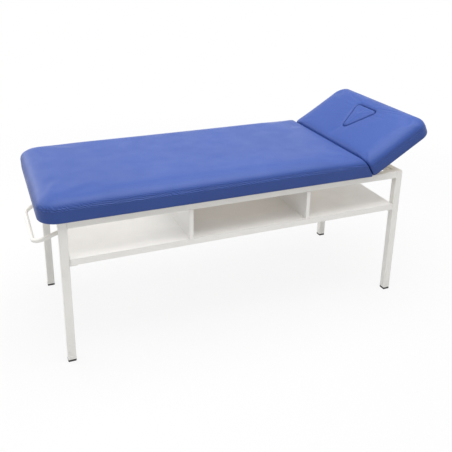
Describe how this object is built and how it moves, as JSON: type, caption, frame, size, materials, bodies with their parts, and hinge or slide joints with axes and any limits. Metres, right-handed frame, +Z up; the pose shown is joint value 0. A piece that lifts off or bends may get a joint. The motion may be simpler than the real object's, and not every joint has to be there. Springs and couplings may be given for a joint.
{
  "type": "treatment table",
  "caption": "Fixed-height treatment table: blue padded top with a tilting head section and plugged face hole, on a white square-tube frame with a divided shelf and a rod loop at the foot end.",
  "frame": {"origin": "on the floor, under the middle of the whole table as pictured with the head section raised", "axes": "+X towards the head end along the table, +Y towards the rear long side, +Z up"},
  "size_m": [1.9037, 0.749, 0.9374],
  "materials": {
    "blue_vinyl": "satin",
    "white_paint": "semi-gloss powder coat",
    "white_laminate": "satin laminate",
    "plywood": "raw",
    "black_plastic": "matte",
    "zinc_steel": "zinc plated"
  },
  "bodies": {
    "frame": {"crossbar_hinge": "white_paint", "crossbar_middle": "white_paint", "crossbar_strut": "white_paint", "divider_foot": "white_laminate", "divider_head": "white_laminate", "foot_cap_foot_front": "black_plastic", "foot_cap_foot_rear": "black_plastic", "foot_cap_head_front": "black_plastic", "foot_cap_head_rear": "black_plastic", "hinge_bar_screws": "zinc_steel", "hinge_front_fixed_leaf": "zinc_steel", "hinge_front_pin": "zinc_steel", "hinge_rear_fixed_leaf": "zinc_steel", "hinge_rear_pin": "zinc_steel", "leg_foot_front": "white_paint", "leg_foot_rear": "white_paint", "leg_head_front": "white_paint", "leg_head_rear": "white_paint", "loop_hanger": "white_paint", "main_board": "plywood", "main_cushion": "blue_vinyl", "rail_foot": "white_paint", "rail_front": "white_paint", "rail_head": "white_paint", "rail_rear": "white_paint", "roll_loop": "white_paint", "shelf_angles": "white_paint", "shelf_board": "white_laminate", "strut_base_bracket": "white_paint", "strut_base_pin": "zinc_steel"},
    "head": {"head_board": "plywood", "head_cushion": "blue_vinyl", "hinge_board_screws": "zinc_steel", "hinge_front_moving_leaf": "zinc_steel", "hinge_rear_moving_leaf": "zinc_steel", "strut_head_bracket": "zinc_steel", "strut_head_pin": "zinc_steel"},
    "plug": {"plug_base": "plywood", "plug_pad": "blue_vinyl"},
    "strut_outer": {"strut_tube": "zinc_steel"},
    "strut_inner": {"strut_bar": "zinc_steel"}
  },
  "joints": [
    {"name": "head_tilt", "type": "hinge", "parent": "frame", "child": "head", "pos_m": [0.6385, 0, 0.658], "axis": [0, -1, 0], "range_deg": [-31, 0]},
    {"name": "plug_lift", "type": "slide", "parent": "head", "child": "plug", "axis": [-0.515, 0, 0.8572], "range_m": [0, 0.12]},
    {"name": "strut_swing", "type": "hinge", "parent": "frame", "child": "strut_outer", "pos_m": [0.69653, 0, 0.55773], "axis": [0, -1, 0], "range_deg": [-15.5, 0]},
    {"name": "strut_slide", "type": "slide", "parent": "strut_outer", "child": "strut_inner", "axis": [0.308, 0, 0.9514], "range_m": [-0.05165, 0]}
  ],
  "couplings": [
    {"joint": "strut_swing", "follows": "head_tilt", "ratio": 0.5},
    {"joint": "strut_slide", "follows": "head_tilt", "m_per_rad": 0.095468}
  ]
}
